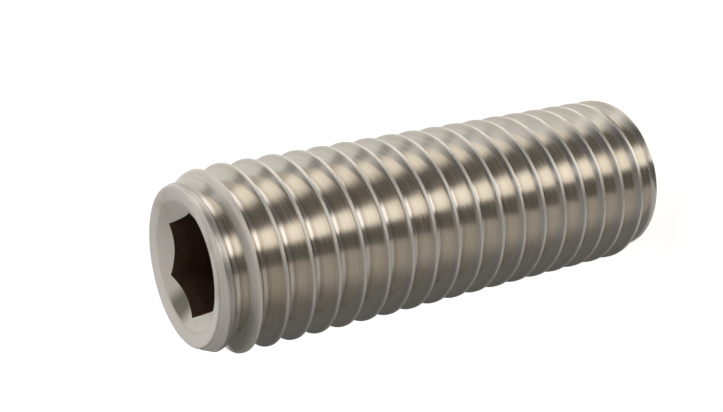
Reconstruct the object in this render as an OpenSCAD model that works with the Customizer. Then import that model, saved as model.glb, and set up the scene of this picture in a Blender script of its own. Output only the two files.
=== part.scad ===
// Hexagon socket set screw (grub screw) with a flat point, in millimetres.
// It stands on its point with the socket up: Z is the screw's axis, and the
// origin is the middle of the point's flat face. Two flats of the hexagon
// are square to X.

/* [Body] */
// Overall length, from the point's face to the socket face
screw_len = 30; // [14:0.5:60]
// Width, from the edge of the point's flat face out to the full thread
point_chamfer = 1.45; // [0.9:0.05:2]
// Angle of the point's chamfer, from the axis, in degrees
point_angle = 45; // [30:5:60]
// Width, from the edge of the socket face out to the full thread
lead_width = 0.73; // [0.1:0.01:0.9]
// Length of the lead, over which the socket end tapers out to the full thread
lead_len = 1.75; // [0.5:0.05:3]

/* [Thread] */
// Outside diameter of the thread, over its crests
thread_d = 9.85; // [9:0.05:13]
// Pitch of the right-hand thread
pitch = 1.5; // [0.75:0.05:2]
// Depth of the thread, from crest to root, as a share of its pitch
depth_share = 0.62; // [0.3:0.01:0.65]
// Width of the flat crest, as a share of the pitch
crest_share = 0.14; // [0.1:0.005:0.2]
// Angle between the two flanks of a thread, in degrees
flank_angle = 60; // [50:5:60]
// Direction in which a crest meets the plane of the point's face, from the X axis, in degrees
crest_turn = -25; // [-180:5:180]
// Flat facets in one turn of the groove
turn_facets = 24; // [20:2:32]

/* [Socket] */
// Hexagon socket, across its flats
socket_af = 5.06; // [3:0.01:5.4]
// Depth of the hexagon, from the socket face
socket_depth = 6.2; // [3:0.1:8]
// Angle of the drilled cone under the hexagon, in degrees
drill_angle = 120; // [90:2:130]
// Width of the countersunk mouth, as a share of the wall from the hexagon's corners to the face's edge
mouth_share = 0.375; // [0.1:0.005:0.5]
// Angle of the mouth's cone, which scallops the flats, from the axis, in degrees
mouth_angle = 56; // [40:2:70]
// Width of the shallow dish around the mouth, as a share of the same wall
dish_share = 0.535; // [0.05:0.005:0.6]
// Depth of the dish, at the mouth's rim
dish_depth = 0.15; // [0.05:0.01:0.3]

/* [Hidden] */
$fn = 96;

// Sides of the socket
HEX = 6;
// A cut runs past the surface that it opens through by this much
cut_past = 0.1;

thread_depth = depth_share * pitch;
thread_r = thread_d / 2;
root_r = thread_r - thread_depth;
point_r = thread_r - point_chamfer;
face_r = thread_r - lead_width;
flat_r = socket_af / 2;
corner_r = flat_r / cos(180 / HEX);
mouth_r = corner_r + mouth_share * (face_r - corner_r);
dish_r = mouth_r + dish_share * (face_r - corner_r);

// The groove's width at its root, and at its open side, which stands out past the crests
flank_slope = tan(flank_angle / 2);
crest_w = crest_share * pitch;
open_past = crest_w / 2;
root_w = pitch - crest_w - 2 * thread_depth * flank_slope;
open_w = pitch - crest_w + 2 * open_past * flank_slope;

// The corners of the groove's facets stand out a little, so that the facets enclose as much as a true round
facet_angle = 360 / turn_facets;
facet_out = sqrt(facet_angle * PI / 180 / sin(facet_angle));
groove_r = root_r * facet_out;
open_r = (thread_r + open_past) * facet_out;

// A point at a radius, a height and a direction about the axis
function around(r, z, turn) = [r * cos(turn), r * sin(turn), z];

// The four corners of the groove's section, where turn counts the degrees up the helix
// without starting again at each round. The groove lies half a pitch below the crest.
function groove_section(turn) =
    let (z = pitch * (turn / 360 - 0.5), to = turn + crest_turn)
    [around(open_r, z - open_w / 2, to), around(groove_r, z - root_w / 2, to),
     around(groove_r, z + root_w / 2, to), around(open_r, z + open_w / 2, to)];

// A helical bar that cuts the thread, from a turn below the point to a turn above the socket face
module groove() {
    turns = ceil(screw_len / pitch) + 2;
    last = turns * turn_facets;
    corners = 4;
    points = [for (i = [0 : last]) each groove_section((i - turn_facets) * facet_angle)];
    sides = [for (i = [0 : last - 1]) for (k = [0 : corners - 1])
        let (a = corners * i + k, b = corners * i + (k + 1) % corners)
        each [[a, b + corners, b], [a, a + corners, b + corners]]];
    first_end = [for (k = [0 : corners - 1]) k];
    last_end = [for (k = [corners - 1 : -1 : 0]) corners * last + k];
    polyhedron(points, concat(sides, [first_end, last_end]));
}

// The turned blank: flat point, chamfer, full thread, lead and socket face
module blank() {
    chamfer_len = point_chamfer / tan(point_angle);
    rotate_extrude() polygon([
        [0, 0], [point_r, 0], [thread_r, chamfer_len],
        [thread_r, screw_len - lead_len], [face_r, screw_len], [0, screw_len]]);
}

// The countersunk mouth over the hexagon, and the shallow dish around it
module mouth() {
    rim_z = screw_len - dish_depth;
    cone_len = mouth_r / tan(mouth_angle);
    rotate_extrude() polygon([[0, rim_z - cone_len], [mouth_r, rim_z], [dish_r, screw_len], [0, screw_len]]);
}

// The hexagon, the drilled cone under it and the mouth over it
module socket() {
    floor_z = screw_len - socket_depth;
    drill_len = flat_r / tan(drill_angle / 2);
    translate([0, 0, floor_z]) linear_extrude(socket_depth + cut_past)
        rotate(180 / HEX) circle(corner_r, $fn = HEX);
    translate([0, 0, floor_z - drill_len]) cylinder(drill_len, 0, flat_r);
    mouth();
}

module set_screw() {
    color([0.75, 0.7, 0.62]) difference() {
        blank();
        groove();
        socket();
    }
}

set_screw();
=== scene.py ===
"""A grub set screw: an M10 x 1.5 x 30 hexagon socket set screw with a flat point.

The screw stands on its point at the frame's origin with its socket up, in metres. Its outside is
one skin. Geometry Nodes carry the thread's section up the helix, and rings of points close the
point and the socket end. The finishes, the camera and the studio follow.
"""

import logging
import math
from collections.abc import Callable
from dataclasses import dataclass
from enum import Enum

import bmesh
import bpy
from mathutils import Matrix, Vector


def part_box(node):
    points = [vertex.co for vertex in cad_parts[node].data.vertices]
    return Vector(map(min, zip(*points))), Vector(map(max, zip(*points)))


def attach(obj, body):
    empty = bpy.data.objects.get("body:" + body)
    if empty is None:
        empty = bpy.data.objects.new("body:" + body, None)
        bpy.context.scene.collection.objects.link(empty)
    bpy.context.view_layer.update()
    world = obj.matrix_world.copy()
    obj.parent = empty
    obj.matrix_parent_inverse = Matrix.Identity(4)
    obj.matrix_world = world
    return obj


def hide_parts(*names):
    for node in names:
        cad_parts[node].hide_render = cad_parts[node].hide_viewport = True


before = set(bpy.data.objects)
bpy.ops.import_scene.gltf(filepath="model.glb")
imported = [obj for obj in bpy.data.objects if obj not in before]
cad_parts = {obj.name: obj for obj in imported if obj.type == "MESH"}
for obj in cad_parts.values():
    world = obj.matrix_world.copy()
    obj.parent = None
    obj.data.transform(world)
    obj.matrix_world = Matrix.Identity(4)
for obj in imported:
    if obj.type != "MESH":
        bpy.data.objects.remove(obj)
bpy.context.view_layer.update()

log = logging.getLogger("set_screw")

MM = 0.001
TURN = 2 * math.pi

Colour = tuple[float, float, float]
Band = tuple[float, float]  # where a smooth step starts and where it is full
Wire = bpy.types.NodeSocket
Value = Wire | float | int | tuple | bpy.types.Material


class Zone(Enum):
    """The parts of the skin that have a finish of their own, by material index."""

    THREAD = 0
    FACE = 1
    MOUTH = 2
    SOCKET = 3


class TreeWriter:
    """Adds nodes to a tree and links them, so that a formula reads as one."""

    def __init__(self, tree: bpy.types.NodeTree) -> None:
        """Empties the tree and writes in it."""
        self.tree = tree
        tree.nodes.clear()

    def add(self, kind: str, inputs: dict[str | int, Value] | None = None,
            **settings: object) -> bpy.types.Node:
        """Adds one node.

        Args:
            kind: The node's type name.
            inputs: What goes into its sockets, by their name or number.
            **settings: The node's own properties.

        Returns:
            The new node.
        """
        node = self.tree.nodes.new(kind)
        for name, value in settings.items():
            setattr(node, name, value)
        for name, value in (inputs or {}).items():
            self.put(node.inputs[name], value)
        return node

    def put(self, socket: Wire, value: Value) -> None:
        """Links a socket to another, or sets its own value.

        Args:
            socket: The input.
            value: What goes into it.
        """
        if isinstance(value, Wire):
            self.tree.links.new(value, socket)
        else:
            socket.default_value = value

    def math(self, operation: str, *values: Value) -> Wire:
        """Adds a Math node and returns its result."""
        return self.add("ShaderNodeMath", dict(enumerate(values)), operation=operation).outputs[0]

    def plus(self, first: Value, second: Value) -> Wire:
        """Returns the sum of two values."""
        return self.math("ADD", first, second)

    def minus(self, first: Value, second: Value) -> Wire:
        """Returns the first value less the second."""
        return self.math("SUBTRACT", first, second)

    def times(self, first: Value, second: Value) -> Wire:
        """Returns the product of two values."""
        return self.math("MULTIPLY", first, second)

    def over(self, first: Value, second: Value) -> Wire:
        """Returns the first value divided by the second."""
        return self.math("DIVIDE", first, second)

    def step(self, value: Value, low: float, high: float) -> Wire:
        """Returns a smooth step, 0 at low and 1 at high, where high may be the lesser."""
        ends = {"Value": value, "From Min": low, "From Max": high}
        return self.add("ShaderNodeMapRange", ends, interpolation_type="SMOOTHSTEP").outputs[0]

    def mix(self, share: Value, first: Value, second: Value) -> Wire:
        """Mixes two colours and returns the result, which is the second where the share is 1."""
        inputs = {0: share, 6: first, 7: second}  # 6 and 7 take the colours
        return self.add("ShaderNodeMix", inputs, data_type="RGBA").outputs[2]

    def split(self, vector: Value) -> tuple[Wire, ...]:
        """Returns a vector's X, Y and Z."""
        return tuple(self.add("ShaderNodeSeparateXYZ", {0: vector}).outputs)

    def join(self, *parts: Value) -> Wire:
        """Returns the vector with these parts."""
        return self.add("ShaderNodeCombineXYZ", dict(enumerate(parts))).outputs[0]

    def rays(self, kind: str) -> Wire:
        """Returns 1 for the rays of a kind, such as Camera, and 0 for the rest."""
        return self.add("ShaderNodeLightPath").outputs[f"Is {kind} Ray"]

    def polar(self, radius: Value, angle: Value, height: Value) -> Wire:
        """Returns the vector to a radius, an angle around Z and a height."""
        return self.join(self.times(radius, self.math("COSINE", angle)),
                         self.times(radius, self.math("SINE", angle)), height)

    def noise(self, place: Value, scale: float, detail: float = 2.0, roughness: float = 0.5,
              fourth: Value | None = None) -> Wire:
        """Adds a noise.

        Args:
            place: Where it is read.
            scale: How fine it is.
            detail: How many finer layers it has.
            roughness: How strong each finer layer is.
            fourth: The place's fourth coordinate, or None where it has three.

        Returns:
            The noise, from 0 to 1.
        """
        inputs = {"Vector": place, "Scale": scale, "Detail": detail, "Roughness": roughness}
        if fourth is None:
            return self.add("ShaderNodeTexNoise", inputs).outputs[0]
        inputs["W"] = fourth
        return self.add("ShaderNodeTexNoise", inputs, noise_dimensions="4D").outputs[0]


def new_object(name: str, data: bpy.types.ID) -> bpy.types.Object:
    """Makes an object and puts it in the scene.

    Args:
        name: Its name.
        data: Its mesh, lamp or camera.

    Returns:
        The object.
    """
    made = bpy.data.objects.new(name, data)
    bpy.context.scene.collection.objects.link(made)
    return made


@dataclass(frozen=True)
class ThreadForm:
    """The rolled thread's section along the axis, and its right-hand helix.

    Attributes:
        crest_r: Radius of the flat crests.
        pitch: Rise of one turn.
        depth: From the crests down to the roots.
        crest_width: Width of the flat crest, if its edges were sharp.
        flank_angle: Between the two flanks.
        crest_blend: How much lower the section starts to round into the crest.
        root_blend: How much higher the section starts to round into the root.
        crest_turn: Where a crest meets the plane of the point's face.
        runout: Length below the socket face over which the groove gets shallower.
        runout_rise: How much shallower it is at the face.
        wear: How far the crests wander, as rolling leaves them.
        BEND: Where the rows of a bend lie, as shares of its reach.
        ROOT_START: Where the row before the root's bend lies, as such a share.
        LAST_ROW: How near the groove's middle a row may lie, as a share of half the pitch.
    """

    crest_r: float = 4.925 * MM
    pitch: float = 1.5 * MM
    depth: float = 0.93 * MM
    crest_width: float = 0.17 * MM
    flank_angle: float = math.radians(60)
    crest_blend: float = 0.06 * MM
    root_blend: float = 0.1 * MM
    crest_turn: float = math.radians(-25)
    runout: float = 0.6 * MM
    runout_rise: float = 0.25 * MM
    wear: float = 0.006 * MM

    BEND = (-1.0, -0.5, 0.0, 0.5, 1.0)
    ROOT_START = -1.4
    LAST_ROW = 0.96

    @property
    def flank_slope(self) -> float:
        """How far a flank runs along the axis for each step of radius."""
        return math.tan(self.flank_angle / 2)

    def stations(self) -> list[float]:
        """Gives the section's rows along the axis, closest together where it bends.

        Returns:
            The rows' offsets from the crest's middle, over one pitch, without the last one, which
            is the first of the next pitch.
        """
        crest_edge = self.crest_width / 2
        root_edge = crest_edge + self.depth * self.flank_slope
        crest_reach = self.crest_blend * self.flank_slope
        root_reach = self.root_blend * self.flank_slope
        half = self.pitch / 2
        rows = [crest_edge + crest_reach * share for share in self.BEND]
        rows += [rows[-1] + crest_reach, (crest_edge + root_edge) / 2]
        rows += [root_edge + root_reach * share for share in (self.ROOT_START, *self.BEND)]
        rows = [row for row in rows if 0 < row < half * self.LAST_ROW]
        return [-half, *(-row for row in reversed(rows)), 0.0, *rows]


@dataclass(frozen=True)
class Ends:
    """The turned ends of the screw, as if their edges were sharp, and how far those are rounded.

    Attributes:
        point_r: Radius of the point's flat face.
        point_angle: Of the point's chamfer, from the axis.
        point_round: Radius of the rounding around the point's face.
        face_r: Radius of the socket face.
        lead_angle: Of the taper at the socket end, from the axis.
        face_round: Radius of the rounding around the socket face.
        edge_blend: How softly the tapers meet the thread.
        POINT_ARC: How many points the rounding around the point's face has.
        POINT_RINGS: Where the rings on the point's face lie, as shares of its radius.
        FACE_ARC: How many points the rounding around the socket face has.
    """

    point_r: float = 3.475 * MM
    point_angle: float = math.radians(45)
    point_round: float = 0.15 * MM
    face_r: float = 4.195 * MM
    lead_angle: float = math.atan(0.73 / 1.75)
    face_round: float = 0.12 * MM
    edge_blend: float = 0.12 * MM

    POINT_ARC = 3
    POINT_RINGS = (0.97, 0.5)
    FACE_ARC = 6

    @staticmethod
    def arc(radius: float, taper: float, steps: int) -> list[tuple[float, float]]:
        """Rounds the edge between a taper and a flat face.

        Args:
            radius: Of the rounding.
            taper: The taper's angle from the axis.
            steps: How many points the arc has after its start.

        Returns:
            For each point, how far it lies inwards and endwards from the arc's start.
        """
        angles = [taper + (math.pi / 2 - taper) * step / steps for step in range(1, steps + 1)]
        inwards = [radius * (math.cos(taper) - math.cos(angle)) for angle in angles]
        endwards = [radius * (math.sin(angle) - math.sin(taper)) for angle in angles]
        return list(zip(inwards, endwards))

    @property
    def lead_slope(self) -> float:
        """How much the lead widens for each step below the socket face."""
        return math.tan(self.lead_angle)

    @property
    def skin_start(self) -> float:
        """How far above the point's face the rounding ends and the swept skin starts."""
        return self.point_round * (1 - math.sin(self.point_angle))

    @property
    def skin_end(self) -> float:
        """How far below the socket face the swept skin ends and the rounding starts."""
        return self.face_round * (1 - math.sin(self.lead_angle))


class ThreadSweep:
    """Geometry Nodes that carry a thread's section up its helix, between the two tapered ends.

    Attributes:
        COLUMNS: How many columns the skin has around the screw.
        SPARE_LAPS: How many more pitches of rows it has than the screw is long.
        SEED: Of the crests' wander.
        WEAR_SCALE: How fine that wander is.
        MERGE: How near to each other two points become one.
    """

    COLUMNS = 120
    SPARE_LAPS = 2
    SEED = 7
    WEAR_SCALE = 900.0
    MERGE = 0.004 * MM

    def __init__(self, form: ThreadForm, ends: Ends, length: float) -> None:
        """Writes the tree.

        Args:
            form: The thread's section and helix.
            ends: The tapers that the thread runs out on.
            length: The screw's whole length.
        """
        self.form, self.ends, self.length = form, ends, length
        self.tree = bpy.data.node_groups.new("thread_sweep", "GeometryNodeTree")
        self.writer = TreeWriter(self.tree)
        self.sockets = self._interface()
        self.given = self.writer.add("NodeGroupInput").outputs
        self._write()

    def _inputs(self) -> dict[str, int | float]:
        """Gathers the tree's named counts and sizes.

        Returns:
            The counts, the lengths in metres and the plain ratios, by their names.
        """
        form, ends, rows = self.form, self.ends, len(self.form.stations())
        return {
            "Columns": self.COLUMNS,
            "Rows": (math.ceil(self.length / form.pitch) + self.SPARE_LAPS) * rows,
            "Rows in a pitch": rows,
            "Seed": self.SEED,
            "Pitch": form.pitch,
            "Crest radius": form.crest_r,
            "Root radius": form.crest_r - form.depth,
            "Half crest": form.crest_width / 2,
            "Flank slope": form.flank_slope,
            "Crest blend": form.crest_blend,
            "Root blend": form.root_blend,
            "Turn of crest": form.crest_turn / TURN,
            "Run-out start": self.length - form.runout,
            "Run-out slope": form.runout_rise / form.runout,
            "Wear": form.wear,
            "Length": self.length,
            "Point radius": ends.point_r,
            "Point slope": math.tan(ends.point_angle),
            "Face radius": ends.face_r,
            "Lead slope": ends.lead_slope,
            "Edge blend": ends.edge_blend,
            "Skin start": ends.skin_start,
            "Skin end": self.length - ends.skin_end,
        }

    def _interface(self) -> dict[str, str]:
        """Makes the tree's named inputs and its output.

        Returns:
            Each input's identifier, by its name.
        """
        new_socket = self.tree.interface.new_socket
        kinds = {"Stations": "NodeSocketGeometry", "Finish": "NodeSocketMaterial"}
        for name, value in self._inputs().items():
            kinds[name] = "NodeSocketInt" if isinstance(value, int) else "NodeSocketFloat"
        found = {name: new_socket(name=name, in_out="INPUT", socket_type=kind)
                 for name, kind in kinds.items()}
        new_socket(name="Skin", in_out="OUTPUT", socket_type="NodeSocketGeometry")
        return {name: socket.identifier for name, socket in found.items()}

    def _write(self) -> None:
        """Writes the nodes."""
        w, given = self.writer, self.given
        columns, rows, count = given["Columns"], given["Rows"], given["Rows in a pitch"]
        grid = w.add("GeometryNodeMeshGrid", {
            "Size X": columns, "Size Y": rows,
            "Vertices X": w.plus(columns, 1), "Vertices Y": w.plus(rows, 1)})
        across, along, _ = w.split(w.add("GeometryNodeInputPosition").outputs[0])
        column = w.math("ROUND", w.plus(across, w.over(columns, 2)))
        row = w.math("ROUND", w.plus(along, w.over(rows, 2)))
        lap = w.math("FLOOR", w.over(w.plus(row, 0.5), count))
        station = w.add("GeometryNodeSampleIndex", {
            "Geometry": given["Stations"], "Index": w.minus(row, w.times(lap, count)),
        }, data_type="FLOAT_VECTOR", domain="POINT")
        w.put(station.inputs["Value"], w.add("GeometryNodeInputPosition").outputs[0])
        offset = w.split(station.outputs[0])[0]

        turn = w.over(column, columns)
        climb = w.times(w.minus(turn, given["Turn of crest"]), given["Pitch"])
        lap_start = w.times(w.minus(lap, 1), given["Pitch"])
        free_z = w.plus(w.plus(offset, lap_start), climb)
        z = w.math("MINIMUM", w.math("MAXIMUM", free_z, given["Skin start"]), given["Skin end"])
        radius = self._radius(z, climb)
        angle = w.times(turn, TURN)
        worn = self._wear(w.polar(radius, angle, z), radius)
        moved = w.polar(worn, angle, z)

        skin = grid.outputs["Mesh"]
        steps = {
            "SetPosition": {"Position": moved},
            "MergeByDistance": {"Distance": self.MERGE},
            "SetShadeSmooth": {},
            "RealizeInstances": {},
            "SetMaterial": {"Material": given["Finish"]},
        }
        for step, inputs in steps.items():
            skin = w.add("GeometryNode" + step, {"Geometry": skin} | inputs).outputs[0]
        w.add("NodeGroupOutput", {0: skin})

    def _radius(self, z: Value, climb: Value) -> Wire:
        """Writes the radius of the skin at a height.

        Args:
            z: The height.
            climb: How far the helix has climbed in this column.

        Returns:
            The radius.
        """
        w, given = self.writer, self.given
        half = w.times(given["Pitch"], 0.5)
        low = w.times(given["Pitch"], -0.5)
        from_crest = w.math("ABSOLUTE", w.math("WRAP", w.minus(z, climb), half, low))
        drop = w.over(w.minus(from_crest, given["Half crest"]), given["Flank slope"])
        flank = w.minus(given["Crest radius"], drop)
        crested = w.math("SMOOTH_MIN", given["Crest radius"], flank, given["Crest blend"])
        into_runout = w.math("MAXIMUM", w.minus(z, given["Run-out start"]), 0.0)
        root = w.math("MULTIPLY_ADD", into_runout, given["Run-out slope"], given["Root radius"])
        thread = w.math("SMOOTH_MAX", root, crested, given["Root blend"])
        point = w.math("MULTIPLY_ADD", z, given["Point slope"], given["Point radius"])
        below_face = w.minus(given["Length"], z)
        lead = w.math("MULTIPLY_ADD", below_face, given["Lead slope"], given["Face radius"])
        return w.math("SMOOTH_MIN", thread, w.math("MINIMUM", point, lead), given["Edge blend"])

    def _wear(self, place: Value, radius: Value) -> Wire:
        """Writes how the crests wander.

        Args:
            place: The point on the skin.
            radius: The point's radius.

        Returns:
            The worn radius, which is never larger.
        """
        w, given = self.writer, self.given
        noise = w.noise(place, self.WEAR_SCALE, fourth=given["Seed"])
        below = w.over(w.minus(given["Crest radius"], radius), given["Crest blend"])
        crest = w.minus(1.0, w.math("MINIMUM", below, 1.0))
        loss = w.times(w.times(noise, crest), given["Wear"])
        return w.minus(radius, loss)

    def skin(self, finish: bpy.types.Material) -> bpy.types.Mesh:
        """Runs the tree.

        Args:
            finish: The thread's material.

        Returns:
            The swept skin, open at both ends, as a plain mesh without material slots.
        """
        line = bpy.data.meshes.new("thread_stations")
        line.from_pydata([(offset, 0.0, 0.0) for offset in self.form.stations()], [], [])
        holder = new_object("thread_holder", line)
        sweep = holder.modifiers.new("sweep", "NODES")
        sweep.node_group = self.tree
        for name, value in (self._inputs() | {"Finish": finish}).items():
            sweep[self.sockets[name]] = value
        holder.update_tag()
        graph = bpy.context.evaluated_depsgraph_get()
        mesh = bpy.data.meshes.new_from_object(holder.evaluated_get(graph))
        holder.modifiers.remove(sweep)
        bpy.data.objects.remove(holder)
        bpy.data.meshes.remove(line)
        mesh.materials.clear()
        mesh.polygons.foreach_set("material_index", [Zone.THREAD.value] * len(mesh.polygons))
        return mesh


class EndSkin:
    """Rings of points that carry the skin from an open loop in to the axis."""

    def __init__(self, mesh: bmesh.types.BMesh, loop: list[bmesh.types.BMVert], up: bool) -> None:
        """Starts at a loop of the mesh, in order of its angle, at the end that looks up or down."""
        self.mesh, self.loop, self.up = mesh, loop, up
        self.start = [(math.atan2(v.co.y, v.co.x), math.hypot(*v.co.xy), v.co.z) for v in loop]

    def _face(self, corners: list[bmesh.types.BMVert], zone: Zone) -> None:
        """Adds a face that looks out of the metal.

        Args:
            corners: Its corners, against the clock as seen from above.
            zone: Its finish.
        """
        made = self.mesh.faces.new(corners if self.up else corners[::-1])
        made.smooth = True
        made.material_index = zone.value

    def ring(self, place: Callable[[float, float, float], tuple[float, float]], zone: Zone,
             crease: bool = False) -> None:
        """Adds a ring inside the last one and joins the two.

        Args:
            place: Gives a point's radius and height from its angle, and from the radius and
                height of the loop's point at that angle.
            zone: The finish between the two rings.
            crease: Whether the ring before this one is a sharp edge.
        """
        made = []
        for angle, radius, height in self.start:
            r, z = place(angle, radius, height)
            made.append(self.mesh.verts.new((r * math.cos(angle), r * math.sin(angle), z)))
        count = len(made)
        for i in range(count):
            j = (i + 1) % count
            self._face([self.loop[i], self.loop[j], made[j], made[i]], zone)
            if crease:
                self.mesh.edges.get((self.loop[i], self.loop[j])).smooth = False
        self.loop = made

    def close(self, height: float, zone: Zone) -> None:
        """Closes the skin at a point on the axis.

        Args:
            height: The point's height.
            zone: The finish of the closing faces.
        """
        middle = self.mesh.verts.new((0, 0, height))
        count = len(self.loop)
        for i in range(count):
            self._face([self.loop[i], self.loop[(i + 1) % count], middle], zone)


@dataclass(frozen=True)
class Socket:
    """The hexagon socket, its drilled cone and its countersunk mouth.

    Attributes:
        across_flats: Width of the hexagon. Two of its flats are square to X.
        depth: From the socket face to the hexagon's floor.
        drill_angle: Of the cone under the floor.
        drill_share: The cone's radius, as a share of the hexagon's flats.
        mouth_width: From the hexagon's corners out to the mouth's rim.
        mouth_angle: Of the mouth's cone, from the axis.
        dish_width: Of the shallow dish around the mouth.
        dish_depth: Of the dish, at the mouth's rim.
        rim_blend: How softly the dish rolls over into the cone.
        SIDE: The angle that a side of the hexagon takes up.
        DISH_RINGS: How many steps the dish has.
        MOUTH_RINGS: How many steps the mouth's cone has.
        WALL_SHARES: Where the rings on the hexagon's walls lie, as shares of the walls' height.
        NEARNESS: How near to each other two places are the same.
    """

    across_flats: float = 5.06 * MM
    depth: float = 6.2 * MM
    drill_angle: float = math.radians(120)
    drill_share: float = 0.95
    mouth_width: float = 0.48 * MM
    mouth_angle: float = math.radians(56)
    dish_width: float = 0.68 * MM
    dish_depth: float = 0.15 * MM
    rim_blend: float = 0.06 * MM

    SIDE = TURN / 6
    DISH_RINGS = 5
    MOUTH_RINGS = 9
    WALL_SHARES = (0.04, 0.3, 0.65, 1.0)
    NEARNESS = 0.001 * MM

    @property
    def flat_r(self) -> float:
        """From the axis to a flat."""
        return self.across_flats / 2

    @property
    def mouth_r(self) -> float:
        """Radius of the mouth's rim."""
        return self.flat_r / math.cos(self.SIDE / 2) + self.mouth_width

    def hexagon_r(self, angle: float) -> float:
        """Returns the hexagon's radius at an angle."""
        return self.flat_r / math.cos((angle + self.SIDE / 2) % self.SIDE - self.SIDE / 2)

    def cut(self, end: EndSkin, top: float) -> None:
        """Carries the skin from the socket face down into the socket and closes it.

        Args:
            end: The skin, at a loop around the mouth.
            top: The height of the socket face.
        """
        for step in range(self.DISH_RINGS + 1):
            r = self.mouth_r + self.dish_width * (1 - step / self.DISH_RINGS)
            end.ring(lambda *_, r=r: (r, top - self.sunk(r)), Zone.FACE)
        for step in range(1, self.MOUTH_RINGS + 1):
            share = step / self.MOUTH_RINGS
            end.ring(lambda angle, *_, share=share: self._countersunk(angle, top, share),
                     Zone.MOUTH)
        for share in self.WALL_SHARES:
            crease = share == self.WALL_SHARES[0]
            end.ring(lambda angle, *_, share=share: self._wall(angle, top, share),
                     Zone.SOCKET, crease)
        floor, drill_r = top - self.depth, self.flat_r * self.drill_share
        end.ring(lambda *_: (drill_r, floor), Zone.SOCKET, True)
        drop = drill_r / math.tan(self.drill_angle / 2)
        end.ring(lambda *_: (drill_r / 2, floor - drop / 2), Zone.SOCKET, True)
        end.close(floor - drop, Zone.SOCKET)

    def sunk(self, r: float) -> float:
        """Works out how far the dish and the mouth lie below the socket face.

        Args:
            r: The radius.

        Returns:
            The depth at that radius.
        """
        dish = (self.mouth_r + self.dish_width - r) * self.dish_depth / self.dish_width
        cone = self.dish_depth + (self.mouth_r - r) / math.tan(self.mouth_angle)
        near = max(self.rim_blend - abs(dish - cone), 0.0) / self.rim_blend
        return max(dish, cone) + near * near * self.rim_blend / 4

    def _countersunk(self, angle: float, top: float, share: float) -> tuple[float, float]:
        """Returns the radius and height of a point part of the way down the mouth."""
        r = self.mouth_r + (self.hexagon_r(angle) - self.mouth_r) * share
        return r, top - self.sunk(r)

    def _wall(self, angle: float, top: float, share: float) -> tuple[float, float]:
        """Returns the radius and height of a point part of the way down the hexagon's wall."""
        r, start = self._countersunk(angle, top, 1.0)
        return r, start + (top - self.depth - start) * share

    def crease_corners(self, mesh: bmesh.types.BMesh) -> None:
        """Makes the hexagon's upright corners sharp.

        Args:
            mesh: The screw's mesh.
        """
        corner_r = self.hexagon_r(self.SIDE / 2)
        for edge in mesh.edges:
            first, second = (end.co for end in edge.verts)
            upright = (first - second).xy.length < self.NEARNESS
            if upright and abs(first.xy.length - corner_r) < self.NEARNESS:
                edge.smooth = False


class SkinWriter(TreeWriter):
    """A writer for a finish, that starts with the place on the screw.

    Attributes:
        place: The place, in Object coordinates.
        height: Its height.
        radius: How far it is from the axis.
        angle: Its angle around the axis, from X.
    """

    def __init__(self, tree: bpy.types.NodeTree) -> None:
        """Writes the nodes that read the place.

        Args:
            tree: The tree to write in.
        """
        super().__init__(tree)
        self.place = self.add("ShaderNodeTexCoord").outputs["Object"]
        x, y, self.height = self.split(self.place)
        self.radius = self.math("SQRT", self.plus(self.times(x, x), self.times(y, y)))
        self.angle = self.math("ARCTAN2", y, x)


@dataclass(frozen=True)
class PaintedRimReflections:
    """Painted dark reflections: a thin darker ring at the rim of the socket's mouth, and a dark
    spot just inside it on one side.

    Attributes:
        rim_r: The rim's radius.
        ring: How strong the ring is.
        spot: How strong the spot is.
        spot_turn: Where the spot is, around the axis.
        ring_band: How near the rim the ring is.
        spot_band: How near its middle the spot is, around the axis.
        inner_band: How far inside the rim the spot is.
    """

    rim_r: float
    ring: float
    spot: float = 0.9
    spot_turn: float = math.radians(125)
    ring_band: Band = (0.12 * MM, 0.02 * MM)
    spot_band: Band = (math.radians(25), math.radians(5))
    inner_band: Band = (-0.02 * MM, 0.1 * MM)

    def strength(self, w: SkinWriter) -> Wire:
        """Writes how strong the painted dark reflections are at a place.

        Args:
            w: The writer.

        Returns:
            The strength, from 0 to 1.
        """
        # The spot and the ring are painted dark reflections, which pull the colour towards the
        # stain colour.
        away = w.math("WRAP", w.minus(w.angle, self.spot_turn), math.pi, -math.pi)
        spot = w.times(w.step(w.math("ABSOLUTE", away), *self.spot_band), self.spot)
        ring = w.step(w.math("ABSOLUTE", w.minus(w.radius, self.rim_r)), *self.ring_band)
        inside = w.step(w.minus(self.rim_r, w.radius), *self.inner_band)
        return w.math("MAXIMUM", w.times(spot, inside), w.times(ring, self.ring))


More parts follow.
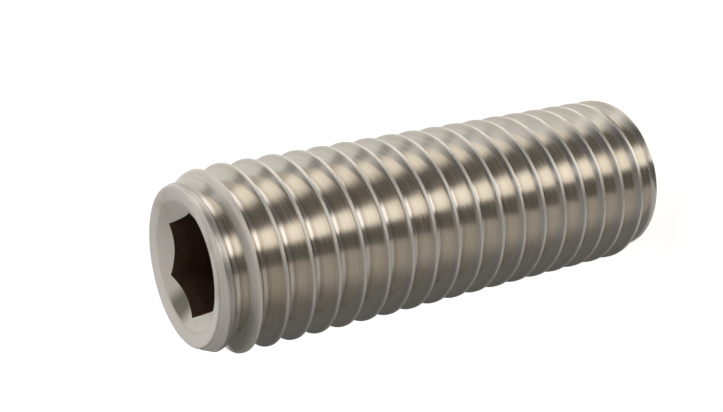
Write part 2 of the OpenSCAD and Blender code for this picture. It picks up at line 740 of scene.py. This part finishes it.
@dataclass(frozen=True)
class TurnedLead:
    """The satin lead at the socket end, where rolling left it as it was turned or pulled it over.

    Attributes:
        form: The thread, whose last turns run out on the lead.
        ends: The turned ends.
        length: The height of the socket face.
        roughness: Of the satin metal.
        colour: Of the satin metal.
        metal: How much of the satin metal is bare.
        pulled_roughness: The least that the pulled metal has.
        pulled_colour: Of the pulled metal.
        pulled_tint: How much of that colour it takes.
        thin_band: How near the lead's cone the metal is satin.
        wide_band: The same on the second turn.
        wide_depth: How far below the socket face the second turn is.
        wide_share: How strong the satin is there.
        crest_band: How far above a crest's middle the satin is.
        face_band: How near the socket face all of the edge is satin.
    """

    form: ThreadForm
    ends: Ends
    length: float
    roughness: float
    colour: Colour
    metal: float
    pulled_roughness: float = 0.36
    pulled_colour: Colour = (0.36, 0.33, 0.3)
    pulled_tint: float = 0.5
    thin_band: Band = (0.12 * MM, 0.03 * MM)
    wide_band: Band = (0.5 * MM, 0.05 * MM)
    wide_depth: Band = (1.0 * MM, 1.3 * MM)
    wide_share: float = 0.7
    crest_band: Band = (-0.17 * MM, 0.0)
    face_band: Band = (0.2 * MM, 0.1 * MM)

    def shares(self, w: SkinWriter) -> tuple[Wire, Wire]:
        """Writes which part of the lead a place is on, by the crest line of its unfilled turns.

        Args:
            w: The writer.

        Returns:
            Two shares. The first is 1 on the satin metal, above the crest line and along the socket
            face. The second is 1 on the pulled metal, under the crest line.
        """
        below = w.minus(self.length, w.height)
        lead = w.math("MULTIPLY_ADD", below, self.ends.lead_slope, self.ends.face_r)
        gap = w.minus(lead, w.radius)
        thin = w.step(gap, *self.thin_band)
        deep = w.times(w.step(below, *self.wide_depth), self.wide_share)
        on_lead = w.math("MAXIMUM", thin, w.times(deep, w.step(gap, *self.wide_band)))
        climb = w.times(w.over(w.minus(w.angle, self.form.crest_turn), TURN), self.form.pitch)
        half = self.form.pitch / 2
        past_crest = w.math("WRAP", w.minus(w.height, climb), half, -half)
        above_crest = w.step(past_crest, *self.crest_band)
        at_face = w.step(below, *self.face_band)
        turned = w.math("MAXIMUM", w.times(on_lead, above_crest), at_face)
        return turned, w.times(thin, w.minus(1.0, turned))

    def dress(self, w: SkinWriter, tone: Value, rough: Value) -> tuple[Value, Value, Value]:
        """Lays the lead's finish over the thread's.

        Args:
            w: The writer.
            tone: The thread's colour there.
            rough: The thread's roughness there.

        Returns:
            The colour, the roughness and how much of the surface is bare metal.
        """
        turned, pulled = self.shares(w)
        tone = w.mix(w.times(pulled, self.pulled_tint), tone, (*self.pulled_colour, 1.0))
        tone = w.mix(turned, tone, (*self.colour, 1.0))
        rough = w.math("MAXIMUM", rough, w.times(pulled, self.pulled_roughness))
        rough = w.math("MAXIMUM", rough, w.times(turned, self.roughness))
        return tone, rough, w.math("MULTIPLY_ADD", turned, self.metal - 1, 1.0)


@dataclass(frozen=True)
class SteelFinish:
    """Bright stainless steel, with what rolling, turning and punching leave on it, with painted
    shade in the roots and the socket, and with painted dark reflections at the mouth's rim.

    Attributes:
        name: The material's name.
        colour: Of the clean metal.
        stain_and_shade: Of the thin stain that lies in faint clouds, and of the darkening in the
            low places, which is partly grime and partly painted shade. It also carries painted
            shade in the socket and painted dark reflections at the mouth's rim.
        roughness: Of the clean metal.
        streaks: How strong the fine lines are.
        clouds: How strong the faint clouds of stain are.
        metal: How much of the surface is bare metal. The rest is the pale skin left by pickling.
        low_grime_and_shade: How strong the darkening is in the low places. It is partly grime and
            partly painted shade of the deep grooves.
        shoulder_stain: How strong it is along the flanks, just under the crests.
        nicks: How strong the fine nicks on the crests are.
        crest_rough: How much rougher the crests are.
        pitch: Rise of one turn, which the fine lines follow. At 0 they run round the axis.
        crest_r: Radius of the crests.
        edge: Tint of what the metal mirrors at a shallow angle.
        lead: The turned lead's finish, where there is a lead.
        rim: The painted dark reflections at the mouth's rim, where there are any.
    """

    name: str
    colour: Colour
    stain_and_shade: Colour
    roughness: float
    streaks: float = 1.0
    clouds: float = 0.2
    metal: float = 1.0
    low_grime_and_shade: float = 0.0
    shoulder_stain: float = 0.0
    nicks: float = 0.0
    crest_rough: float = 0.0
    pitch: float = 0.0
    crest_r: float = ThreadForm.crest_r
    edge: Colour = (1.0, 1.0, 1.0)
    lead: TurnedLead | None = None
    rim: PaintedRimReflections | None = None

    # Depths below the crests
    CREST = (0.06 * MM, 0.01 * MM)
    SHOULDER_FOOT = (0.4 * MM, 0.15 * MM)
    SHOULDER_TOP = (0.1 * MM, 0.04 * MM)
    LOW = (0.675 * MM, 0.875 * MM)
    # Values of the slow noise that make a cloud
    CLOUD = (0.5, 0.7)
    # How fine the noises are, and what their finer layers are like
    CLOUD_SCALE = 350.0
    GRAIN_SCALE = 14000.0
    DRIFT_SCALE = 160.0
    LINE_SCALE = 4.0
    DETAIL = 4.0
    LINE_ROUGHNESS = 0.7
    # How far the lines change along their way, and how much lines, clouds and grain show
    DRIFT = 2.5
    LINE_GLOSS = 0.25
    LINE_SHADE = 0.3
    CLOUD_GLOSS = 0.12
    GRAIN = 0.3
    BUMP = 0.35
    BUMP_HEIGHT = 0.004 * MM

    def material(self) -> bpy.types.Material:
        """Builds the material.

        Returns:
            A node material that reads Object coordinates.
        """
        made = bpy.data.materials.new(self.name)
        made.use_nodes = True
        w = SkinWriter(made.node_tree)
        depth = w.minus(self.crest_r, w.radius)
        crest = w.step(depth, *self.CREST)
        lines = w.minus(self._lines(w), 0.5)
        cloud = w.noise(w.place, self.CLOUD_SCALE, self.DETAIL)
        grain = w.noise(w.place, self.GRAIN_SCALE)
        tone = w.mix(self._stain_and_shade_share(w, depth, cloud), (*self.colour, 1.0), (*self.stain_and_shade, 1.0))
        rough = w.math("MULTIPLY_ADD", lines, self.LINE_GLOSS * self.streaks, self.roughness)
        rough = w.math("MULTIPLY_ADD", w.minus(cloud, 0.5), self.CLOUD_GLOSS, rough)
        rough = w.math("MULTIPLY_ADD", crest, self.crest_rough, rough)
        metal = self.metal
        if self.lead:
            tone, rough, metal = self.lead.dress(w, tone, rough)
        shade = w.math("MULTIPLY_ADD", lines, self.LINE_SHADE * self.streaks, 1.0)
        shaded = w.add("ShaderNodeVectorMath", {0: tone, "Scale": shade}, operation="SCALE")
        grain_height = w.math("MULTIPLY_ADD", crest, self.nicks, self.GRAIN)
        height = w.math("MULTIPLY_ADD", grain, grain_height, w.times(lines, self.streaks))
        bump = w.add("ShaderNodeBump", {
            "Strength": self.BUMP, "Distance": self.BUMP_HEIGHT, "Height": height})
        shader = w.add("ShaderNodeBsdfPrincipled", {
            "Base Color": shaded.outputs[0], "Metallic": metal, "Roughness": rough,
            "Normal": bump.outputs[0], "Specular Tint": (*self.edge, 1.0)})
        w.add("ShaderNodeOutputMaterial", {0: shader.outputs[0]})
        return made

    def _lines(self, w: SkinWriter) -> Wire:
        """Writes the fine lines that run along the thread, or round the axis.

        Args:
            w: The writer.

        Returns:
            The lines, from 0 to 1.
        """
        out = w.times(w.radius, 1 / MM)
        if self.pitch:
            phase = w.minus(w.times(w.over(w.height, self.pitch), TURN), w.angle)
            section = w.join(w.math("COSINE", phase), w.math("SINE", phase), out)
        else:
            section = w.join(out, 0.0, w.times(w.height, 1 / MM))
        drift = w.times(w.noise(w.place, self.DRIFT_SCALE), self.DRIFT)
        return w.noise(section, self.LINE_SCALE, self.DETAIL, self.LINE_ROUGHNESS, drift)

    def _stain_and_shade_share(self, w: SkinWriter, depth: Value, cloud: Value) -> Wire:
        """Writes where the thin stain lies, with the darkening in the low places, which is partly
        painted shade, and the painted dark reflections at the rim.

        Args:
            w: The writer.
            depth: How far it is below the crests.
            cloud: The slow noise.

        Returns:
            The stain's strength, from 0 to 1.
        """
        # Darker and browner in the thread's roots: partly grime, partly painted shade of the deep
        # grooves.
        low = w.times(w.step(depth, *self.LOW), self.low_grime_and_shade)
        shoulder = w.minus(w.step(depth, *self.SHOULDER_FOOT), w.step(depth, *self.SHOULDER_TOP))
        patches = w.times(w.step(cloud, *self.CLOUD), self.clouds)
        stain_and_shade = w.plus(w.plus(low, w.times(shoulder, self.shoulder_stain)), patches)
        stain_and_shade = w.math("MINIMUM", stain_and_shade, 1.0)
        return w.math("MAXIMUM", stain_and_shade, self.rim.strength(w)) if self.rim else stain_and_shade


@dataclass
class SetScrew:
    """The whole screw, in one skin.

    Attributes:
        length: From the point's face to the socket face.
        form: The thread.
        ends: The two tapered ends.
        socket: The hexagon socket.
    """

    length: float
    form: ThreadForm = ThreadForm()
    ends: Ends = Ends()
    socket: Socket = Socket()

    def finishes(self) -> list[bpy.types.Material]:
        """Builds the finish of each zone.

        Returns:
            The materials, in the order of the zones.
        """
        satin, pale = (0.83, 0.78, 0.7), (0.92, 0.85, 0.76)
        rim_r = self.socket.mouth_r
        lead = TurnedLead(
            self.form, self.ends, self.length, roughness=0.45, colour=pale, metal=0.25)
        finishes = {
            Zone.THREAD: SteelFinish(
                "rolled_steel", colour=(0.75, 0.7, 0.62), stain_and_shade=(0.42, 0.32, 0.23), roughness=0.16,
                # low_grime_and_shade is partly grime and partly painted shade in the roots.
                streaks=1.2, clouds=0.12, low_grime_and_shade=0.25, shoulder_stain=0.15, nicks=5.0,
                crest_rough=0.3, pitch=self.form.pitch, lead=lead),
            Zone.FACE: SteelFinish(
                "satin_steel", colour=satin, stain_and_shade=(0.6, 0.5, 0.38), roughness=0.45,
                # The rim's ring and spot are painted dark reflections.
                streaks=0.7, clouds=0.7, metal=0.35, rim=PaintedRimReflections(rim_r, ring=0.4)),
            Zone.MOUTH: SteelFinish(
                "pressed_steel", colour=pale, stain_and_shade=(0.2, 0.17, 0.13), roughness=0.4,
                # The rim's ring and spot are painted dark reflections.
                streaks=0.5, clouds=0.12, metal=0.05, rim=PaintedRimReflections(rim_r, ring=0.15)),
            # The socket's dark colour, its darker stain and its dark edge tint are painted shade of
            # the deep recess.
            Zone.SOCKET: SteelFinish(
                "socket_steel_painted_shade", colour=(0.27, 0.17, 0.12), stain_and_shade=(0.14, 0.08, 0.06), roughness=0.5,
                clouds=0.8, edge=(0.4, 0.3, 0.25)),
        }
        return [finishes[zone].material() for zone in Zone]

    def build(self) -> bpy.types.Object:
        """Builds the screw, dresses it and ties it to the frame.

        Returns:
            The finished piece.
        """
        finishes = self.finishes()
        skin = ThreadSweep(self.form, self.ends, self.length).skin(finishes[Zone.THREAD.value])
        for finish in finishes:
            skin.materials.append(finish)
        work = bmesh.new()
        work.from_mesh(skin)
        self._close(work)
        self.socket.crease_corners(work)
        work.to_mesh(skin)
        work.free()
        skin.name = "threaded_screw"
        piece = new_object("threaded_screw", skin)
        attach(piece, "root")
        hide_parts("set_screw")
        return piece

    def _close(self, work: bmesh.types.BMesh) -> None:
        """Rounds and closes both ends of the swept skin.

        Args:
            work: The skin, which is open at both ends.
        """
        ends, middle = self.ends, self.length / 2
        open_points = [v for v in work.verts if v.is_boundary]
        by_angle = sorted(open_points, key=lambda v: math.atan2(v.co.y, v.co.x))
        point = EndSkin(work, [v for v in by_angle if v.co.z < middle], False)
        for inwards, down in ends.arc(ends.point_round, ends.point_angle, ends.POINT_ARC):
            point.ring(lambda _, r, z, i=inwards, d=down: (r - i, z - d), Zone.FACE)
        flat_r = ends.point_r - ends.point_round
        for share in ends.POINT_RINGS:
            point.ring(lambda *_, share=share: (flat_r * share, 0.0), Zone.FACE)
        point.close(0.0, Zone.FACE)
        face = EndSkin(work, [v for v in by_angle if v.co.z > middle], True)
        for inwards, up in ends.arc(ends.face_round, ends.lead_angle, ends.FACE_ARC):
            face.ring(lambda _, r, z, i=inwards, u=up: (r - i, z + u), Zone.FACE)
        self.socket.cut(face, self.length)


@dataclass(frozen=True)
class Softbox:
    """A lamp with a broad soft front, that looks at the screw from far off.

    Attributes:
        name: The lamp's name.
        aim: The direction in which the screw sees it.
        along: The direction that its height runs along.
        width: Its angular width.
        height: Its angular height.
        distance: How far off it hangs.
        light: Its brightness, where 1 is white.
    """

    name: str = "back_softbox"
    aim: tuple[float, float, float] = (0.0, 0.42, 0.9)
    along: tuple[float, float, float] = (0.0, 1.0, 0.0)
    width: float = math.radians(30)
    height: float = math.radians(20)
    distance: float = 0.9
    light: float = 1.0

    def hang(self, centre: Vector) -> None:
        """Makes the lamp.

        Args:
            centre: What it looks at.
        """
        lamp = bpy.data.lights.new(self.name, "AREA")
        lamp.shape = "RECTANGLE"
        lamp.size = 2 * self.distance * math.tan(self.width / 2)
        lamp.size_y = 2 * self.distance * math.tan(self.height / 2)
        lamp.energy = self.light * math.pi * lamp.size * lamp.size_y
        made = new_object(self.name, lamp)
        back = Vector(self.aim).normalized()
        across = Vector(self.along).cross(back).normalized()
        turned = Matrix((across, back.cross(across), back)).transposed()
        made.matrix_world = Matrix.Translation(centre + back * self.distance) @ turned.to_4x4()
        made.visible_camera = False


@dataclass(frozen=True)
class LightTent:
    """How bright the tent is in each direction, with the dark gaps that give metal its shape.

    Attributes:
        stops: Directions from X in degrees, from -180 to 180, and the brightness there, where 1
            is white. It changes evenly from one to the next.
        scale: The highest brightness that a stop may have.
    """

    stops: tuple[tuple[float, float], ...] = (
        (-180.0, 0.24), (-152.0, 0.5), (-123.0, 0.5), (-119.0, 0.14), (-95.0, 0.14), (-91.0, 1.5),
        (-71.0, 1.65), (-62.0, 0.2), (-50.0, 0.15), (-33.0, 0.17), (-20.0, 1.25), (-4.0, 1.5),
        (5.0, 1.4), (13.0, 0.85), (60.0, 0.95), (97.0, 0.95), (101.0, 0.15), (165.0, 0.21),
        (180.0, 0.24))
    scale: float = 2.0

    def light(self, w: TreeWriter, place: Value) -> Wire:
        """Writes the brightness in the direction of a place.

        Args:
            w: The writer of a material's or the world's tree.
            place: A place around the screw's axis, or a direction.

        Returns:
            The brightness.
        """
        x, y, _ = w.split(place)
        turn = w.math("MULTIPLY_ADD", w.math("ARCTAN2", y, x), 1 / TURN, 0.5)
        node = w.add("ShaderNodeValToRGB", {0: turn})
        ramp = node.color_ramp
        ramp.elements.remove(ramp.elements[1])
        for number, (direction, light) in enumerate(self.stops):
            position = (direction + 180) / 360
            stop = ramp.elements[0] if number == 0 else ramp.elements.new(position)
            stop.position = position
            stop.color = (*[light / self.scale] * 3, 1.0)
        return w.times(node.outputs[0], self.scale)


@dataclass(frozen=True)
class Studio:
    """A pale floor, a tent of soft light, a softbox over it, and cards that only metal shows.

    Attributes:
        tent: The brightness of the tent's walls.
        ceiling: The brightness above them.
        wall_band: Where the ceiling takes over from the walls, as sines of the elevation.
        tent_level: How bright the tent is on the whole.
        softbox: The lamp.
        flag_azimuth: Direction of the small dark flag in the tent, from X.
        flag_height: The flag's elevation.
        flag_band: How near its middle the flag is.
        flag_depth: How much of the tent's light it holds back.
        floor_r: The floor's radius.
        floor_fade: Where the floor turns white, as shares of its radius.
        floor_colour: The floor's own colour.
        floor_lift: How much white the floor has of itself for the camera and for metal.
        card_r: The inner and the outer radius of the ring of cards.
        card_height: How high the cards lie over the floor.
        segments: How many sides the round sheets have.
    """

    tent: LightTent = LightTent()
    ceiling: LightTent = LightTent((
        (-180.0, 0.38), (-120.0, 0.22), (-100.0, 0.25), (-88.0, 0.8), (-68.0, 0.85), (-52.0, 0.25),
        (-35.0, 0.14), (15.0, 0.18), (45.0, 0.4), (120.0, 0.45), (180.0, 0.38)))
    wall_band: Band = (0.74, 0.9)
    tent_level: float = 0.8
    softbox: Softbox = Softbox()
    flag_azimuth: float = math.radians(33)
    flag_height: float = math.radians(44)
    flag_band: Band = (math.radians(8), math.radians(3))
    flag_depth: float = 0.6
    floor_r: float = 0.35
    floor_fade: Band = (0.3, 0.95)
    floor_colour: float = 0.8
    floor_lift: float = 0.72
    card_r: tuple[float, float] = (5.3 * MM, 0.33)
    card_height: float = 0.05 * MM
    segments: int = 128

    def build(self, centre: Vector) -> None:
        """Makes the floor, the cards, the tent and the softbox.

        Args:
            centre: What the softbox looks at.
        """
        self._floor()
        self._cards()
        self._tent()
        self.softbox.hang(centre)
        bpy.context.scene.view_settings.view_transform = "Standard"

    def _stage(self, name: str, work: bmesh.types.BMesh) -> tuple[bpy.types.Object, TreeWriter]:
        """Makes a part of the stage.

        Args:
            name: The part's name, and its material's.
            work: Its mesh, which is used up.

        Returns:
            The part's object, and a writer for its material's tree.
        """
        sheet = bpy.data.meshes.new(name)
        work.to_mesh(sheet)
        work.free()
        material = bpy.data.materials.new(name)
        material.use_nodes = True
        sheet.materials.append(material)
        made = new_object(name, sheet)
        return made, TreeWriter(material.node_tree)

    def _shown(self, w: TreeWriter) -> Wire:
        """Returns 1 for what is seen, straight or in metal or glass, and 0 for plain light."""
        camera, glossy, sent = (w.rays(kind) for kind in ("Camera", "Glossy", "Transmission"))
        return w.math("MAXIMUM", camera, w.math("MAXIMUM", glossy, sent))

    def _floor(self) -> None:
        """Makes the floor, a round sheet that turns white towards its edge."""
        work = bmesh.new()
        bmesh.ops.create_circle(work, cap_ends=True, segments=self.segments, radius=self.floor_r)
        _, w = self._stage("floor", work)
        place = w.add("ShaderNodeTexCoord").outputs["Object"]
        out = w.add("ShaderNodeVectorMath", {0: place}, operation="LENGTH").outputs["Value"]
        edge = w.step(out, *(self.floor_r * share for share in self.floor_fade))
        paper = w.add("ShaderNodeBsdfDiffuse", {"Color": (*[self.floor_colour] * 3, 1.0)})
        shown = self._shown(w)
        lift = w.add("ShaderNodeEmission", {"Strength": w.times(shown, self.floor_lift)})
        white = w.add("ShaderNodeEmission", {"Strength": shown})
        lit = w.add("ShaderNodeAddShader", {0: paper.outputs[0], 1: lift.outputs[0]})
        mixed = w.add("ShaderNodeMixShader", {0: edge, 1: lit.outputs[0], 2: white.outputs[0]})
        w.add("ShaderNodeOutputMaterial", {0: mixed.outputs[0]})

    def _cards(self) -> None:
        """Makes the ring of cards, which lies on the floor and is met by mirrored rays alone."""
        work = bmesh.new()
        for radius in self.card_r:
            bmesh.ops.create_circle(work, segments=self.segments, radius=radius)
        bmesh.ops.bridge_loops(work, edges=work.edges[:])
        bmesh.ops.translate(work, verts=work.verts[:], vec=(0, 0, self.card_height))
        ring, w = self._stage("card_ring", work)
        ring.visible_camera = ring.visible_diffuse = ring.visible_shadow = False
        light = self.tent.light(w, w.add("ShaderNodeTexCoord").outputs["Object"])
        shine = w.add("ShaderNodeEmission", {"Strength": light})
        w.add("ShaderNodeOutputMaterial", {0: shine.outputs[0]})

    def _flag(self, w: TreeWriter, direction: Value) -> Wire:
        """Writes the share of the tent's light that the small dark flag lets through.

        Args:
            w: The writer of the world's tree.
            direction: The direction that is looked in.

        Returns:
            The share, which is 1 away from the flag.
        """
        level, up = math.cos(self.flag_height), math.sin(self.flag_height)
        aim = (level * math.cos(self.flag_azimuth), level * math.sin(self.flag_azimuth), up)
        toward = w.add("ShaderNodeVectorMath", {0: direction, 1: aim}, operation="DOT_PRODUCT")
        shade = w.step(toward.outputs["Value"], *(math.cos(angle) for angle in self.flag_band))
        return w.math("MULTIPLY_ADD", shade, -self.flag_depth, 1.0)

    def _tent(self) -> None:
        """Makes the tent, which is plain white to the camera."""
        world = bpy.data.worlds.new("light_tent")
        bpy.context.scene.world = world
        world.use_nodes = True
        w = TreeWriter(world.node_tree)
        direction = w.add("ShaderNodeTexCoord").outputs["Generated"]
        above = w.step(w.split(direction)[2], *self.wall_band)
        wall = w.times(self.tent.light(w, direction), self._flag(w, direction))
        ceiling = self.ceiling.light(w, direction)
        light = w.add("ShaderNodeMix", {0: above, 2: wall, 3: ceiling}).outputs[0]
        strength = w.math("MAXIMUM", w.times(light, self.tent_level), w.rays("Camera"))
        inputs = {"Color": (1.0, 1.0, 1.0, 1.0), "Strength": strength}
        background = w.add("ShaderNodeBackground", inputs)
        w.add("ShaderNodeOutputWorld", {0: background.outputs[0]})


@dataclass(frozen=True)
class ViewCamera:
    """The camera, close over the socket end and rolled so that the screw lies across the view.

    Attributes:
        target: What it looks at, from the middle of the point's face.
        distance: From the camera to the target.
        azimuth: The camera's direction from the target, from X.
        elevation: The camera's height over the target, as an angle.
        roll: How far it is turned about its own axis.
        lens: Its focal length, in millimetres.
        sensor: Its sensor's width, in millimetres.
        clip: The nearest and the farthest that it sees.
    """

    target: tuple[float, float, float] = (1.43 * MM, 1.61 * MM, 17.86 * MM)
    distance: float = 67.33 * MM
    azimuth: float = math.radians(-95.92)
    elevation: float = math.radians(30.84)
    roll: float = math.radians(101.54)
    lens: float = 58.7
    sensor: float = 36.0
    clip: tuple[float, float] = (1 * MM, 50.0)

    def build(self) -> None:
        """Makes the camera and sets it as the scene's."""
        level = Vector((math.cos(self.azimuth), math.sin(self.azimuth), 0.0))
        back = level * math.cos(self.elevation) + Vector((0, 0, math.sin(self.elevation)))
        side = Vector((0, 0, 1)).cross(back).normalized()
        above = back.cross(side)
        up = above * math.cos(self.roll) + side * math.sin(self.roll)
        right = up.cross(back)
        data = bpy.data.cameras.new("view_camera")
        data.lens, data.sensor_width = self.lens, self.sensor
        data.clip_start, data.clip_end = self.clip
        made = new_object("view_camera", data)
        turned = Matrix((right, up, back)).transposed().to_4x4()
        made.matrix_world = Matrix.Translation(Vector(self.target) + back * self.distance) @ turned
        bpy.context.scene.camera = made


def report(piece: bpy.types.Object) -> None:
    """Logs a piece's name and how many triangles it has."""
    piece.data.calc_loop_triangles()
    log.info("%s: %d triangles", piece.name, len(piece.data.loop_triangles))


def main() -> None:
    """Builds the screw, the camera and the studio."""
    logging.basicConfig(level=logging.INFO, format="%(name)s: %(message)s")
    low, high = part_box("set_screw")
    ViewCamera().build()
    piece = SetScrew(length=high.z - low.z).build()
    report(piece)
    Studio().build((low + high) / 2)


if __name__ == "__main__":
    main()
